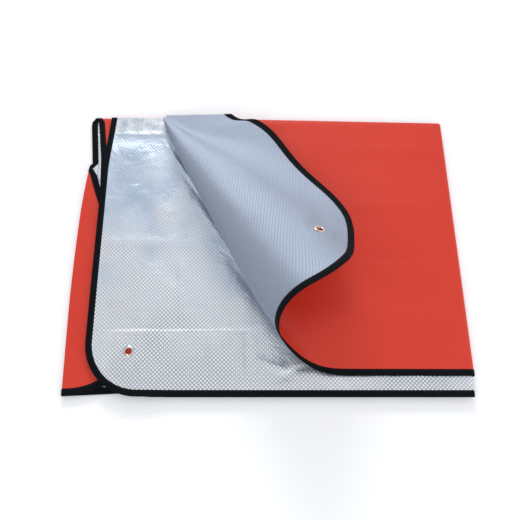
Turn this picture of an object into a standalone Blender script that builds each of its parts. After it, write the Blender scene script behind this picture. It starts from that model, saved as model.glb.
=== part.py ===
"""Reinforced foil blanket, folded in four, with one corner peeled back.

The sheet is drawn flat, cut into facets along its fold lines, and then folded.
Flat frame: p across, q along.  The four leaves, from the top of the pack down, are
    A  p < 0, q > 0      B  p < 0, q < 0      C  p > 0, q < 0      D  p > 0, q > 0
A and B meet at the back fold (q = 0), and that pair meets the pair D and C at the right fold (p = 0).
Folded frame: x to the right, y to the back, z up, origin on the floor under the middle of the pack.
"""
import math

import bmesh
import bpy
from mathutils import Matrix, Vector
from mathutils.geometry import delaunay_2d_cdt

# ---- the flat sheet (metres) ----
HALF_WIDTH = 0.755
LONG_LEAF = 0.610          # leaves B and C, from the back fold to the front edge
SHORT_LEAF = 0.570         # leaves A and D
CORNER_RADIUS = 0.105
SHEET = 0.0016             # laminate thickness
FACET = 0.055              # spacing of the free points between fold lines

# ---- binding tape and eyelets ----
TAPE_WIDTH = 0.012
TAPE = 0.0006
GAP = 0.0003
EYELET_INSET = 0.085       # from both edges of its corner
EYELET_HOLE = 0.00625      # inner radius of the barrel
EYELET_WALL = 0.00075
EYELET_FLANGE = 0.0110
SHEET_HOLE = 0.0078
HOLE_SIDES = 12
EYELET_SUPPORT = (0.0130, 0.0250)         # radii of the rings of facets round each eyelet
RING_SIDES = 24

# ---- the folded pack ----
PITCH = 0.0048             # from one leaf to the next
ROLL = PITCH / 2           # centre radius of a fold between neighbouring leaves
RIGHT_FOLD_X = 0.385
BACK_FOLD_Y = 0.300
QUARTER_ROLL = math.pi * ROLL / 2
QUARTER_WRAP = math.pi * PITCH / 2
PLANE_X = RIGHT_FOLD_X + QUARTER_WRAP    # x of a leaf's flat p = 0
PLANE_Y = BACK_FOLD_Y + QUARTER_ROLL     # y of a leaf's flat q = 0
MIDDLE_Z = SHEET / 2 + 1.5 * PITCH

# Sideways shift of each leaf's free edge at these distances from the back fold.
SHIFT_AT = (0.0, 0.010, 0.104, 0.130, 0.210, 0.380, 0.610)
EDGE_SHIFT = {
    "A": (0.0200, 0.0100, 0.0000, 0.0000, 0.0000, 0.0000, 0.0000),
    "B": (0.0200, 0.0190, 0.0121, 0.0106, 0.0103, 0.0094, 0.0090),
    "C": (-0.0180, -0.0095, 0.0045, 0.0060, 0.0105, 0.0222, 0.0380),
    "D": (-0.0180, -0.0262, -0.0155, -0.0440, -0.0890, -0.1441, -0.1854),
}
FRONT_SKEW = {"A": 0.0, "B": 0.0, "C": 0.0, "D": -0.045}
BACK_TILT = 0.018          # how much nearer the back fold lies at the right
RIGHT_LEAN = 0.013         # how much the right fold leans in at the back

# Leaf D's free margin is turned over on itself along this line, and lifts the leaves above.
TURN_LINE = (
    # distance along the edge, width of the margin
    dict(q=0.0995, width=-0.004),
    dict(q=0.1300, width=0.022),
    dict(q=0.2100, width=0.055),
    dict(q=0.3800, width=0.095),
    dict(q=0.5900, width=0.125),
)
TURN_FACET = 0.006
TURN_TAPE = (0.075, 0.175)    # q along which the tape crosses that line
TURN_LIFT = dict(full_x=-0.258, none_x=-0.170, full_y=0.196, none_y=0.270)

# ---- the peeled corner of leaf A: a cone rolled about one point on the back fold ----
PEEL_X = -0.240
PEEL_ANGLE = math.radians(34.7)          # from straight forward, where the roll starts
PEEL_ROLL = (
    # flat angle (deg), bend
    dict(span=26.4, bend=6.69, facets=9),
    dict(span=15.5, bend=2.72, facets=3),
    dict(span=14.4, bend=-2.99, facets=3),
    dict(span=90.0, bend=0.0, facets=5),
)
PEEL_POINT = Vector((PEEL_X, PLANE_Y))
PEEL_RAY = Vector((math.sin(PEEL_ANGLE), -math.cos(PEEL_ANGLE)))
PEEL_ACROSS = Vector((-math.cos(PEEL_ANGLE), -math.sin(PEEL_ANGLE)))
PEEL_CORE = 0.008                        # leaf A is cut away this far round the point
CREST_Y = PLANE_Y                        # the peeled corner bends down behind this line
CREST_RADIUS = 0.003
CREST_DROP = 0.014
SLIT = 0.002                             # half the opening behind the peel point
# The peeled corner is no true cone: these places of it (flat p and q) are moved, fading out over reach.
PEEL_SWELL = (
    dict(p=-0.755, q=0.12, reach=0.09, x=0.0035, y=0.0122),
    dict(p=-0.755, q=0.22, reach=0.09, x=0.0133, y=0.0361),
    dict(p=-0.755, q=0.32, reach=0.09, x=-0.0008, y=0.0226),
    dict(p=-0.755, q=0.43, reach=0.09, x=0.0134, y=0.0181),
    dict(p=-0.700, q=0.53, reach=0.08, x=-0.0203, y=0.0053),
    dict(p=-0.600, q=0.57, reach=0.08, x=0.0068, y=0.0001),
    dict(p=-0.480, q=0.57, reach=0.09, x=-0.0051, y=0.0198),
    dict(p=-0.360, q=0.57, reach=0.09, x=-0.0052, y=0.0272),
)
SWELL_START = math.radians(12)           # flat angle of the peel at which the swell is whole
SWELL_EVEN = (0.014, 0.050)              # distances from the eyelet between which the swell starts to vary
SWELL_FADE = 0.06                        # distance from the back fold over which it fades out

# The left edges, and leaf D's front edge, sit a little off the floor, so that the sheet lies flat.
EDGE_RISE = dict(height=0.0012, full=0.016, none=0.045)
LEFT_RISE = dict(full_x=-0.360, none_x=-0.335)

# Loft in the upper leaves: each bump raises its leaf and every leaf above it.
LOFT = (
    # leaf, x, y, half-width, half-depth, height
    dict(leaf="C", x=-0.05, y=-0.02, wide=0.16, deep=0.13, high=0.0030),
    dict(leaf="B", x=-0.20, y=-0.10, wide=0.09, deep=0.07, high=0.0035),
    dict(leaf="B", x=-0.10, y=0.06, wide=0.10, deep=0.06, high=0.0025),
    dict(leaf="B", x=0.10, y=-0.14, wide=0.14, deep=0.06, high=0.0030),
    dict(leaf="A", x=0.24, y=0.04, wide=0.11, deep=0.12, high=0.0050),
    dict(leaf="A", x=0.16, y=-0.16, wide=0.10, deep=0.05, high=0.0040),
)
STACK = "DCBA"


def smooth(t):
    t = min(max(t, 0.0), 1.0)
    return t * t * (3 - 2 * t)


def leaf_of(p, q):
    if p < 0:
        return "A" if q > 0 else "B"
    return "D" if q > 0 else "C"


def edge_shift(leaf, v):
    """Sideways shift of a leaf's free edge at the distance v from the back fold."""
    for start, end, near, far in zip(SHIFT_AT, SHIFT_AT[1:], EDGE_SHIFT[leaf], EDGE_SHIFT[leaf][1:]):
        if v < end:
            break
    return near + (far - near) * (v - start) / (end - start)


def loft(leaf, x, y):
    height = 0.0
    for bump in LOFT:
        if STACK.index(bump["leaf"]) <= STACK.index(leaf):
            far = math.hypot((x - bump["x"]) / bump["wide"], (y - bump["y"]) / bump["deep"])
            height += bump["high"] * smooth(1 - far / 1.6)
    if leaf != "D":
        across = (TURN_LIFT["none_x"] - x) / (TURN_LIFT["none_x"] - TURN_LIFT["full_x"])
        along = (TURN_LIFT["none_y"] - y) / (TURN_LIFT["none_y"] - TURN_LIFT["full_y"])
        height += PITCH * smooth(across) * smooth(along)
    return height


def from_outline(p, q):
    """Distance inwards from the flat sheet's outline with its rounded corners."""
    length = SHORT_LEAF if q > 0 else LONG_LEAF
    du, dv = HALF_WIDTH - abs(p), length - abs(q)
    if du < CORNER_RADIUS and dv < CORNER_RADIUS:
        return CORNER_RADIUS - math.hypot(CORNER_RADIUS - du, CORNER_RADIUS - dv)
    return min(du, dv)


def edge_rise(leaf, p, q, x):
    """Rise of every leaf towards the left, and of leaf D at its front edge too."""
    rise = smooth((LEFT_RISE["none_x"] - x) / (LEFT_RISE["none_x"] - LEFT_RISE["full_x"]))
    if leaf == "D":
        front = smooth((EDGE_RISE["none"] - SHORT_LEAF + q) / (EDGE_RISE["none"] - EDGE_RISE["full"]))
        rise = max(rise, front * smooth(p / 0.05))
    return EDGE_RISE["height"] * rise


def cone_ray(angle):
    """Direction of the ray at a flat angle past the start of the peel: along, across, up."""
    ray, across, up = Vector((1, 0, 0)), Vector((0, 1, 0)), Vector((0, 0, 1))
    for stretch in PEEL_ROLL:
        part = min(angle, math.radians(stretch["span"]))
        axis = stretch["bend"] * ray + up
        turn = Matrix.Rotation(part * axis.length, 3, axis.normalized())
        ray, across, up = turn @ ray, turn @ across, turn @ up
        angle -= part
        if angle <= 0:
            break
    return ray


def peel_ray(angle):
    """The same direction in the folded frame."""
    along, across, up = cone_ray(angle)
    flat = along * PEEL_RAY + across * PEEL_ACROSS
    return Vector((flat.x, flat.y, up))


def swell(p, q):
    """Sideways and backward move of a point of the peeled corner, even all round its eyelet."""
    eyelet = eyelet_centres()["eyelet_peeled"]
    offset = Vector((p, q)) - eyelet
    p, q = eyelet + smooth((offset.length - SWELL_EVEN[0]) / (SWELL_EVEN[1] - SWELL_EVEN[0])) * offset
    x = y = 0.0
    for place in PEEL_SWELL:
        far = math.hypot(p - place["p"], q - place["q"]) / place["reach"]
        share = math.exp(-far * far)
        x += place["x"] * share
        y += place["y"] * share
    return x, y


def peeled(p, q):
    """Place and height of a point of leaf A that is rolled back about the peel point, or None."""
    offset = Vector((PLANE_X + p, PLANE_Y - q)) - PEEL_POINT
    angle = math.atan2(offset.dot(PEEL_ACROSS), offset.dot(PEEL_RAY))
    if angle <= 0:
        return None
    ray = peel_ray(angle)
    far = offset.length
    half_turn = math.radians(PEEL_ROLL[0]["span"])
    x, y, z = PEEL_POINT.x + far * ray.x, PEEL_POINT.y + far * ray.y, far * ray.z
    z += PITCH * smooth(angle / half_turn)
    swell_x, swell_y = swell(p, q)
    whole = smooth(angle / SWELL_START)
    x += whole * swell_x
    y += whole * swell_y * smooth((CREST_Y - y) / SWELL_FADE)
    past = y - CREST_Y
    if past > 0:
        around = min(past / CREST_RADIUS, math.pi / 2)
        y = CREST_Y + CREST_RADIUS * math.sin(around)
        z -= CREST_RADIUS * (1 - math.cos(around)) + past - CREST_RADIUS * around
    return x, y, z


def turn_width(q):
    """Width of leaf D's turned margin."""
    for near, far in zip(TURN_LINE, TURN_LINE[1:]):
        if q < far["q"]:
            break
    share = max((q - near["q"]) / (far["q"] - near["q"]), 0.0)
    return near["width"] + (far["width"] - near["width"]) * share


def turned(p, q):
    """Leaf D's flat point moved back to its turned-over place, with the height that the turn gives it."""
    line = HALF_WIDTH - turn_width(q)
    beyond = p - line
    if beyond <= 0:
        return p, q, 0.0
    if beyond < math.pi * ROLL:
        return line + ROLL * math.sin(beyond / ROLL), q, ROLL * (1 - math.cos(beyond / ROLL))
    return line + math.pi * ROLL - beyond, q, PITCH


def fold(p, q):
    """The folded place of a point of the flat sheet's middle surface."""
    leaf = leaf_of(p, q)
    flat = p, q
    flap = peeled(p, q) if leaf == "A" else None
    height = 0.0
    if leaf == "D":
        p, q, height = turned(p, q)
    u, v = abs(p), abs(q)
    rolled = p > PEEL_X - PLANE_X - 1e-6
    if v < QUARTER_ROLL and rolled:
        y = BACK_FOLD_Y + ROLL * math.cos(v / ROLL)
        level = math.copysign(ROLL * math.sin(v / ROLL), q)
    else:
        y = PLANE_Y - v
        level = math.copysign(ROLL, q)
    radius = PITCH + level
    if u < QUARTER_WRAP:
        x = RIGHT_FOLD_X + radius * math.cos(u / PITCH)
        z = MIDDLE_Z - math.copysign(radius * math.sin(u / PITCH), p)
    else:
        x = PLANE_X - u
        z = MIDDLE_Z - math.copysign(radius, p)
    if flap:
        x, y, height = flap
    share = min(u / HALF_WIDTH, 1.0)
    x += edge_shift(leaf, v) * share
    y += FRONT_SKEW[leaf] * share * v / SHORT_LEAF
    z += height + edge_rise(leaf, *flat, x)
    if u > QUARTER_WRAP and v > QUARTER_ROLL:
        inside = smooth((u - QUARTER_WRAP) / 0.05) * smooth((v - QUARTER_ROLL) / 0.05)
        z += loft(leaf, x, y) * inside
    right = min(max((x + 0.36) / 0.75, 0.0), 1.05)
    back = (y + 0.305) / 0.61
    return Vector((x - RIGHT_LEAN * right * back, y - BACK_TILT * right * back, z))


# ---- the flat pattern ----

def crest_angle():
    """Flat angle of the peeled ray that lies along the back fold."""
    low, high = math.radians(45), math.radians(110)
    for _ in range(40):
        middle = (low + high) / 2
        if peel_ray(middle).y < 0:
            low = middle
        else:
            high = middle
    return low


def outline(inset):
    """Closed outline of the flat sheet, moved inwards; it starts and ends at the slit on the left edge."""
    radius = CORNER_RADIUS - inset
    right, top, bottom = HALF_WIDTH - inset, SHORT_LEAF - inset, LONG_LEAF - inset
    corners = ((-1, -1, 180), (1, -1, 270), (1, 1, 0), (-1, 1, 90))
    points = []
    for side, end, start in corners:
        length = top if end > 0 else bottom
        centre = Vector((side * (right - radius), end * (length - radius)))
        for step in range(9):
            turn = math.radians(start + 90 * step / 8)
            points.append(centre + radius * Vector((math.cos(turn), math.sin(turn))))
    return points


def left_end(inset):
    """Where leaf A's edge line meets the end of the peeled corner behind the back fold."""
    angle = crest_angle()
    ray = math.cos(angle) * PEEL_RAY + math.sin(angle) * PEEL_ACROSS
    side = -math.sin(angle) * PEEL_RAY + math.cos(angle) * PEEL_ACROSS
    start = PEEL_POINT + CREST_DROP * side
    edge_x = PLANE_X - HALF_WIDTH + inset
    on_edge = start + ray * (edge_x - start.x) / ray.x
    on_slit = start + ray * (PLANE_Y - SLIT - start.y) / ray.y
    return (Vector((on_edge.x - PLANE_X, PLANE_Y - on_edge.y)),
            Vector((on_slit.x - PLANE_X, PLANE_Y - on_slit.y)))


def chain(points, closed=False):
    ends = points[1:] + points[:1] if closed else points[1:]
    return list(zip(points, ends))


def spaced(start, end, gap=FACET):
    count = max(1, round((end - start).length / gap))
    return [start.lerp(end, i / count) for i in range(count + 1)]


def refined(points):
    """The same line with more points on its long straight runs, and most where leaf D's margin turns."""
    result = []
    for start, end in zip(points, points[1:]):
        for a, b in chain(spaced(start, end, 1.2 * FACET)):
            turning = a.x > 0 and TURN_TAPE[0] < a.y < TURN_TAPE[1]
            result += spaced(a, b, TURN_FACET / 2 if turning else 2 * FACET)[:-1]
    return result + [points[-1]]


def border():
    """Outer line from the slit, round the sheet, to the end of the peeled corner, and its inset twin."""
    lines = []
    for inset in (0.0, TAPE_WIDTH):
        start = Vector((-HALF_WIDTH + inset, -SLIT))
        lines.append(refined([start] + outline(inset) + [left_end(inset)[0]]))
    return lines


def fold_lines():
    """Straight lines of the flat pattern that the facets must follow, each as its points."""
    peel_p = PEEL_X - PLANE_X
    lines = []
    for part in (-1, -0.5, 0, 0.5, 1):
        along = part * QUARTER_ROLL
        lines.append((Vector((peel_p, along)), Vector((1.05 * HALF_WIDTH, along))))
        across = part * QUARTER_WRAP
        lines.append((Vector((across, -1.05 * LONG_LEAF)), Vector((across, 1.05 * SHORT_LEAF))))
    turn_lines = []
    for part in range(-1, 5):
        aside = part / 3 * math.pi * ROLL
        line = [Vector((HALF_WIDTH - row["width"] + aside, row["q"])) for row in TURN_LINE]
        turn_lines += [spaced(start, end, TURN_FACET) for start, end in chain(line)]
    angle = 0.0
    limit = crest_angle()
    for stretch in PEEL_ROLL:
        for facet in range(stretch["facets"]):
            if angle <= limit:
                lines.append(peel_line(angle))
            angle += math.radians(stretch["span"]) / stretch["facets"]
    lines.append(peel_line(limit))
    return turn_lines + [spaced(start, end) for start, end in lines]


def peel_line(angle):
    ray = math.cos(angle) * PEEL_RAY + math.sin(angle) * PEEL_ACROSS
    start, end = PEEL_POINT + 0.7 * PEEL_CORE * ray, PEEL_POINT + 0.75 * ray
    return (Vector((start.x - PLANE_X, PLANE_Y - start.y)), Vector((end.x - PLANE_X, PLANE_Y - end.y)))


def eyelet_centres():
    across, front, back = HALF_WIDTH - EYELET_INSET, LONG_LEAF - EYELET_INSET, SHORT_LEAF - EYELET_INSET
    return {
        "eyelet_peeled": Vector((-across, back)),
        "eyelet_front": Vector((-across, -front)),
    }


def ring(centre, radius, sides):
    turns = [2 * math.pi * i / sides for i in range(sides)]
    return [centre + radius * Vector((math.cos(t), math.sin(t))) for t in turns]


def flat_pattern():
    """Triangles of the flat sheet, with edges along every fold line, the tape and the eyelet holes."""
    outer, inner = border()
    on_slit = left_end(0.0)[1]
    peel_p = PEEL_X - PLANE_X
    turns = [math.radians(165 - 15 * step) for step in range(11)]
    core = [Vector((peel_p + PEEL_CORE * math.cos(t), PEEL_CORE * math.sin(t))) for t in turns]
    rim = outer + [on_slit] + core + [Vector((peel_p, -SLIT))]
    points, edges, index = [], [], {}

    def place(point):
        key = (round(point.x, 7), round(point.y, 7))
        if key not in index:
            index[key] = len(points)
            points.append(Vector(key))
        return index[key]

    face = [place(point) for point in rim]
    edges += chain(face, closed=True)
    edges += chain([place(point) for point in inner])
    holes = [ring(centre, SHEET_HOLE, HOLE_SIDES) for centre in eyelet_centres().values()]
    for hole in holes:
        edges += chain([place(point) for point in hole], closed=True)
    for centre in eyelet_centres().values():
        for reach in EYELET_SUPPORT:
            edges += chain([place(point) for point in ring(centre, reach, HOLE_SIDES)], closed=True)
    for line in fold_lines():
        edges += chain([place(point) for point in line])
    row_gap = 0.87 * FACET
    for row in range(int((LONG_LEAF + SHORT_LEAF) / row_gap)):
        for column in range(int(2 * HALF_WIDTH / FACET) + 1):
            across = FACET * (column + 0.5 * (row % 2)) - HALF_WIDTH
            point = Vector((across, row_gap * (row + 0.6) - LONG_LEAF))
            if free_point(point, points):
                place(point)
    verts, _, faces, *_ = delaunay_2d_cdt(points, edges, [face], 0, 1e-6)
    return verts, [f for f in faces if kept(sum((verts[i] for i in f), Vector((0, 0))) / 3, rim, holes)]


def free_point(point, taken):
    clear = all((point - other).length > 0.45 * FACET for other in taken)
    return clear and from_outline(point.x, point.y) > 0.03


def within(point, loop):
    """Even-odd test of a point against a closed loop."""
    odd = False
    for a, b in chain(loop, closed=True):
        if (a.y > point.y) != (b.y > point.y):
            if point.x < a.x + (b.x - a.x) * (point.y - a.y) / (b.y - a.y):
                odd = not odd
    return odd


def kept(point, rim, holes):
    return within(point, rim) and not any(within(point, hole) for hole in holes)


# ---- solids ----

def material(name, colour, roughness, metallic):
    mat = bpy.data.materials.new(name)
    mat.use_nodes = True
    shader = mat.node_tree.nodes["Principled BSDF"]
    shader.inputs["Base Color"].default_value = (*colour, 1)
    shader.inputs["Roughness"].default_value = roughness
    shader.inputs["Metallic"].default_value = metallic
    return mat


def add_object(name, bm, mat, smooth_angle=40):
    bmesh.ops.recalc_face_normals(bm, faces=bm.faces)
    mesh = bpy.data.meshes.new(name)
    bm.to_mesh(mesh)
    bm.free()
    mesh.materials.append(mat)
    mesh.shade_smooth()
    mesh.set_sharp_from_angle(angle=math.radians(smooth_angle))
    obj = bpy.data.objects.new(name, mesh)
    bpy.context.collection.objects.link(obj)
    return obj


def fold_normal(p, q, step=0.0004):
    """Normal of the folded surface, on the side of the silver face."""
    along = fold(p + step, q) - fold(p - step, q)
    across = fold(p, q + step) - fold(p, q - step)
    return along.cross(across).normalized()


class Folded:
    """The folded middle surface: places, normals and triangles."""

    def __init__(self):
        verts, faces = flat_pattern()
        used = sorted({i for face in faces for i in face})
        new = {old: i for i, old in enumerate(used)}
        self.flat = [verts[i] for i in used]
        self.faces = [tuple(new[i] for i in face) for face in faces]
        self.places = [fold(point.x, point.y) for point in self.flat]
        self.normals = [fold_normal(point.x, point.y) for point in self.flat]

    def shifted(self, bm, height):
        return [bm.verts.new(c + height * n) for c, n in zip(self.places, self.normals)]


def rim_edges(faces):
    """Edges that belong to one face only, each in its face's direction."""
    directed = {(a, b) for face in faces for a, b in zip(face, face[1:] + face[:1])}
    return [(a, b) for a, b in directed if (b, a) not in directed]


def build_sheet(folded, mat):
    bm = bmesh.new()
    above, below = folded.shifted(bm, SHEET / 2), folded.shifted(bm, -SHEET / 2)
    for face in folded.faces:
        bm.faces.new([above[i] for i in face])
        bm.faces.new([below[i] for i in reversed(face)])
    for a, b in rim_edges(folded.faces):
        bm.faces.new([above[b], above[a], below[a], below[b]])
    return add_object("sheet", bm, mat)


def outward_steps(folded, edges):
    """For each point on the sheet's outline, the unit step away from the sheet."""
    steps = {}
    for i in {i for edge in edges for i in edge}:
        flat = folded.flat[i]
        inner = Vector(flat)
        length = SHORT_LEAF if flat.y > 0 else LONG_LEAF
        centre = Vector((math.copysign(HALF_WIDTH - CORNER_RADIUS, flat.x),
                         math.copysign(length - CORNER_RADIUS, flat.y)))
        across, along = abs(flat.x) > abs(centre.x), abs(flat.y) > abs(centre.y)
        inward = Vector((centre.x - flat.x if across else 0, centre.y - flat.y if along else 0))
        inner += 0.003 * inward.normalized()
        step = fold(flat.x, flat.y) - fold(inner.x, inner.y)
        normal = folded.normals[i]
        steps[i] = (step - step.dot(normal) * normal).normalized()
    return steps


def build_binding(folded, mat):
    """One tape folded over the sheet's edge: two legs and the wall that joins them."""
    faces = []
    for face in folded.faces:
        middle = sum((folded.flat[i] for i in face), Vector((0, 0))) / 3
        if from_outline(middle.x, middle.y) < TAPE_WIDTH - 1e-6:
            faces.append(face)
    rim = rim_edges(faces)
    hem = [e for e in rim if all(from_outline(*folded.flat[i]) < 1e-5 for i in e)]
    ends = [e for e in rim if e not in set(hem)]
    steps = outward_steps(folded, hem)
    inner, outer = SHEET / 2 + GAP, SHEET / 2 + GAP + TAPE
    bm = bmesh.new()
    layers = {}

    def point(i, height, out=0.0):
        key = (i, height, out)
        if key not in layers:
            step = steps[i] * out if out else Vector()
            layers[key] = bm.verts.new(folded.places[i] + height * folded.normals[i] + step)
        return layers[key]

    def quad(*corners):
        bm.faces.new([point(*corner) for corner in corners])

    wall_in, wall_out = GAP, GAP + TAPE
    for face in faces:
        for height, order in ((outer, face), (inner, face[::-1]), (-inner, face), (-outer, face[::-1])):
            bm.faces.new([point(i, height) for i in order])
    for a, b in ends:
        quad((b, outer), (a, outer), (a, inner), (b, inner))
        quad((b, -inner), (a, -inner), (a, -outer), (b, -outer))
    for a, b in hem:
        for height, out in ((outer, wall_out), (inner, wall_in), (-inner, wall_in), (-outer, wall_out)):
            quad((b, height), (a, height), (a, height, out), (b, height, out))
        quad((b, outer, wall_out), (a, outer, wall_out), (a, -outer, wall_out), (b, -outer, wall_out))
        quad((b, inner, wall_in), (a, inner, wall_in), (a, -inner, wall_in), (b, -inner, wall_in))
    count = {}
    for edge in hem:
        for i in edge:
            count[i] = count.get(i, 0) + 1
    for i in (i for i, n in count.items() if n == 1):
        quad((i, outer), (i, outer, wall_out), (i, inner, wall_in), (i, inner))
        quad((i, outer, wall_out), (i, -outer, wall_out), (i, -inner, wall_in), (i, inner, wall_in))
        quad((i, -outer), (i, -outer, wall_out), (i, -inner, wall_in), (i, -inner))
    return add_object("binding", bm, mat)


def eyelet_frame(folded, centre):
    """Middle and axis of the hole whose rim stands round a flat centre."""
    near = [i for i, flat in enumerate(folded.flat) if abs((flat - centre).length - SHEET_HOLE) < 1e-5]
    near.sort(key=lambda i: math.atan2(*(folded.flat[i] - centre).yx))
    places = [folded.places[i] for i in near]
    middle = sum(places, Vector()) / len(places)
    axis = sum(((a - middle).cross(b - middle) for a, b in chain(places, closed=True)), Vector())
    return middle, axis.normalized()


def build_eyelet(name, folded, centre, mat):
    """A pressed ring: a barrel through the sheet with a flange on each face."""
    inner, outer = SHEET / 2 + GAP, SHEET / 2 + GAP + TAPE
    barrel = EYELET_HOLE + EYELET_WALL
    profile = ((EYELET_HOLE, -outer), (EYELET_FLANGE, -outer), (EYELET_FLANGE, -inner), (barrel, -inner),
               (barrel, inner), (EYELET_FLANGE, inner), (EYELET_FLANGE, outer), (EYELET_HOLE, outer))
    bm = bmesh.new()
    rings = []
    for radius, height in profile:
        loop = ring(Vector((0, 0)), radius, RING_SIDES)
        rings.append([bm.verts.new((spot.x, spot.y, height)) for spot in loop])
    for lower, upper in chain(rings, closed=True):
        for (a, b), (c, d) in zip(chain(lower, closed=True), chain(upper, closed=True)):
            bm.faces.new((a, b, d, c))
    obj = add_object(name, bm, mat)
    middle, axis = eyelet_frame(folded, centre)
    obj.matrix_world = Matrix.Translation(middle) @ axis.to_track_quat("Z", "Y").to_matrix().to_4x4()
    return obj


def main():
    for obj in list(bpy.data.objects):
        bpy.data.objects.remove(obj, do_unlink=True)
    laminate = material("laminate", (0.62, 0.07, 0.04), 0.38, 0.0)
    tape = material("tape", (0.012, 0.014, 0.018), 0.75, 0.0)
    metal = material("eyelet_metal", (0.78, 0.76, 0.70), 0.28, 1.0)
    folded = Folded()
    build_sheet(folded, laminate)
    build_binding(folded, tape)
    for name, centre in eyelet_centres().items():
        build_eyelet(name, folded, centre, metal)


main()
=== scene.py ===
import math

import bpy
import bmesh
from mathutils import Matrix, Vector, noise
from mathutils.geometry import delaunay_2d_cdt
from mathutils.kdtree import KDTree


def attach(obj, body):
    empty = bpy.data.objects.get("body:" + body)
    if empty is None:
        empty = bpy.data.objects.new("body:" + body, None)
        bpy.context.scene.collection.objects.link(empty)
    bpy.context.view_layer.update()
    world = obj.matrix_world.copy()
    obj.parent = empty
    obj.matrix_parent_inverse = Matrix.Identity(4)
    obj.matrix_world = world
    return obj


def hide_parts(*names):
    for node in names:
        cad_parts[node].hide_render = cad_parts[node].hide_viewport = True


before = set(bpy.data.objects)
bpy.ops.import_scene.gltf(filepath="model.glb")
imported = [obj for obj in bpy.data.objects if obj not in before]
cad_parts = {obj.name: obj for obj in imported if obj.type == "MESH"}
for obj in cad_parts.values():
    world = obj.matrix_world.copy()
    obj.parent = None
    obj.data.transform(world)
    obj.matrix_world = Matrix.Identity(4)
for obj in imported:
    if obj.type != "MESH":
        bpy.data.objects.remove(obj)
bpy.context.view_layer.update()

# ---- the flat sheet and its folds, the same as in the CAD (metres) ----
HALF_WIDTH = 0.755
LONG_LEAF = 0.610          # depth of leaves B and C
SHORT_LEAF = 0.570         # depth of leaves A and D
CORNER_RADIUS = 0.105
CAD_SHEET = 0.0016
TAPE_WIDTH = 0.012
EYELET_INSET = 0.085
SHEET_HOLE = 0.0078        # radius
TINY = 1e-6                # slack of tests in the flat pattern
MERGE = 1e-7               # distance within which its triangulation joins points

PITCH = 0.0048             # from one leaf to the next
ROLL = PITCH / 2           # radius of a fold's middle surface
RIGHT_FOLD_X = 0.385
BACK_FOLD_Y = 0.300
QUARTER_ROLL = math.pi * ROLL / 2
QUARTER_WRAP = math.pi * PITCH / 2
PLANE_X = RIGHT_FOLD_X + QUARTER_WRAP
PLANE_Y = BACK_FOLD_Y + QUARTER_ROLL
MIDDLE_Z = CAD_SHEET / 2 + 1.5 * PITCH

# Sideways shift of each leaf's free edge at these distances from the back fold.
SHIFT_AT = (0.0, 0.010, 0.104, 0.130, 0.210, 0.380, 0.610)
EDGE_SHIFT = {
    "A": (0.0200, 0.0100, 0.0000, 0.0000, 0.0000, 0.0000, 0.0000),
    "B": (0.0200, 0.0190, 0.0121, 0.0106, 0.0103, 0.0094, 0.0090),
    "C": (-0.0180, -0.0095, 0.0045, 0.0060, 0.0105, 0.0222, 0.0380),
    "D": (-0.0180, -0.0262, -0.0155, -0.0440, -0.0890, -0.1441, -0.1854),
}
# How far each leaf's free front corner is moved backward.
FRONT_SKEW = {"A": 0.0, "B": 0.0, "C": 0.0, "D": -0.045}
# Towards its right back corner the pack is moved left and forward, by these amounts at that corner.
RIGHT_LEAN = 0.013
BACK_TILT = 0.018
LEAN_X = dict(start=-0.36, span=0.75, most=1.05)
LEAN_Y = dict(start=-0.305, span=0.61)

# Leaf D's free margin is turned over on itself, and lifts the leaves above.  q is the distance from
# the back fold; the margin starts where its width is 0.
TURN_LINE = (
    dict(q=0.0995, width=-0.004),
    dict(q=0.1300, width=0.022),
    dict(q=0.2100, width=0.055),
    dict(q=0.3800, width=0.095),
    dict(q=0.5900, width=0.125),
)
# None at the outer places of the pack, a whole pitch from the inner ones on.
TURN_LIFT = dict(full_x=-0.258, none_x=-0.170, full_y=0.196, none_y=0.270)

# Leaf A's free back corner is peeled open from a point of the back fold, along a line at this angle,
# and rolled in stretches: span is a stretch's flat angle in degrees, bend its rolling by angle.
PEEL_X = -0.240
PEEL_ANGLE = math.radians(34.7)
PEEL_ROLL = (
    dict(span=26.4, bend=6.69, facets=16),
    dict(span=15.5, bend=2.72, facets=5),
    dict(span=14.4, bend=-2.99, facets=5),
    dict(span=90.0, bend=0.0, facets=5),
)
PEEL_POINT = Vector((PEEL_X, PLANE_Y))
PEEL_RAY = Vector((math.sin(PEEL_ANGLE), -math.cos(PEEL_ANGLE)))
PEEL_ACROSS = Vector((-math.cos(PEEL_ANGLE), -math.sin(PEEL_ANGLE)))
PEEL_CORE = 0.008          # radius of the opening at the peel's point
PEEL_START = 0.7 * PEEL_CORE  # its fold lines run from here, to here
PEEL_REACH = 0.75
CREST_Y = PLANE_Y          # film beyond this is bent down behind the pack
CREST_RADIUS = 0.003
CREST_DROP = 0.014
CREST_SIDES = 0.006        # flat angle of the lines on either side of the crest
SLIT = 0.002               # half the gap along the back fold beside the peeled corner
# The peeled corner is no true cone: places of it are moved.  Flat p and q of each place, the distance
# over which its move fades out, and the move along x and y.
PEEL_SWELL = (
    (-0.755, 0.12, 0.09, 0.0035, 0.0122),
    (-0.755, 0.22, 0.09, 0.0133, 0.0361),
    (-0.755, 0.32, 0.09, -0.0008, 0.0226),
    (-0.755, 0.43, 0.09, 0.0134, 0.0181),
    (-0.700, 0.53, 0.08, -0.0203, 0.0053),
    (-0.600, 0.57, 0.08, 0.0068, 0.0001),
    (-0.480, 0.57, 0.09, -0.0051, 0.0198),
    (-0.360, 0.57, 0.09, -0.0052, 0.0272),
)
SWELL_START = math.radians(12)  # flat angle of the peel at which the swell is whole
SWELL_EVEN = (0.014, 0.050)  # distances from the eyelet over which it starts to vary
SWELL_FADE = 0.06          # distance from the back fold over which it fades out

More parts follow.
